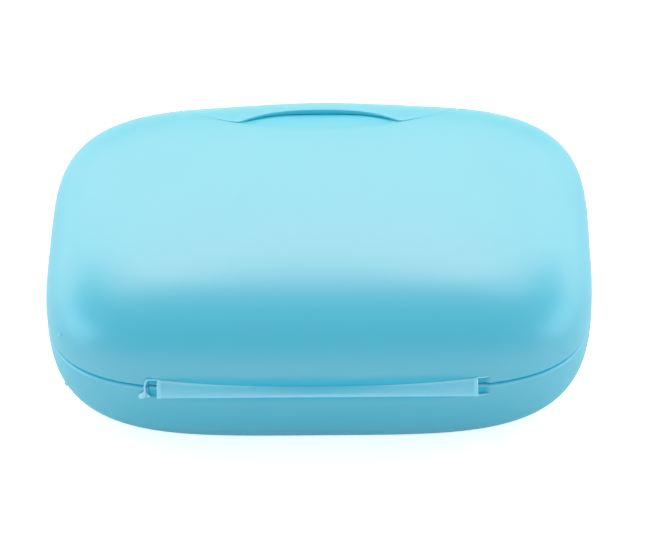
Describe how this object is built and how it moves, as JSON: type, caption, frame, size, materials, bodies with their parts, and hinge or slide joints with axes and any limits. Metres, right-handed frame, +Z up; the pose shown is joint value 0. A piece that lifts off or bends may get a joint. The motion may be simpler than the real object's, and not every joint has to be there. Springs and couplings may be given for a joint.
{
  "type": "travel soap box",
  "caption": "Clam-shell travel soap box: rounded base tray and domed lid on a rear web hinge, a front clasp with a finger notch, and a loose slotted drain rack inside.",
  "frame": {"origin": "middle of the flat foot, on the surface that the box stands on", "axes": "+Z up, +Y towards the clasp, +X along the length, to the right when seen from the hinge side"},
  "size_m": [0.115, 0.0848, 0.0443],
  "materials": {
    "shell_plastic": "satin moulded polypropylene",
    "web_plastic": "thin bent polypropylene, slightly clear",
    "rack_plastic": "satin moulded polypropylene, pale"
  },
  "bodies": {
    "base": {"base_tray": "shell_plastic", "hinge_web_lower": "web_plastic", "clasp_hinge_web": "web_plastic"},
    "lid": {"lid": "shell_plastic", "hinge_web_upper": "web_plastic"},
    "clasp": {"clasp": "shell_plastic"},
    "rack": {"drain_rack": "rack_plastic"}
  },
  "joints": [
    {"name": "lid_hinge", "type": "hinge", "parent": "base", "child": "lid", "pos_m": [0, -0.04265, 0.022], "axis": [1, 0, 0], "range_deg": [0, 180]},
    {"name": "clasp_swing", "type": "hinge", "parent": "base", "child": "clasp", "pos_m": [0, 0.04155, 0.0192], "axis": [-1, 0, 0], "range_deg": [0, 110]},
    {"name": "rack_lift", "type": "slide", "parent": "base", "child": "rack", "axis": [0, 0, 1], "range_m": [0, 0.02]}
  ]
}
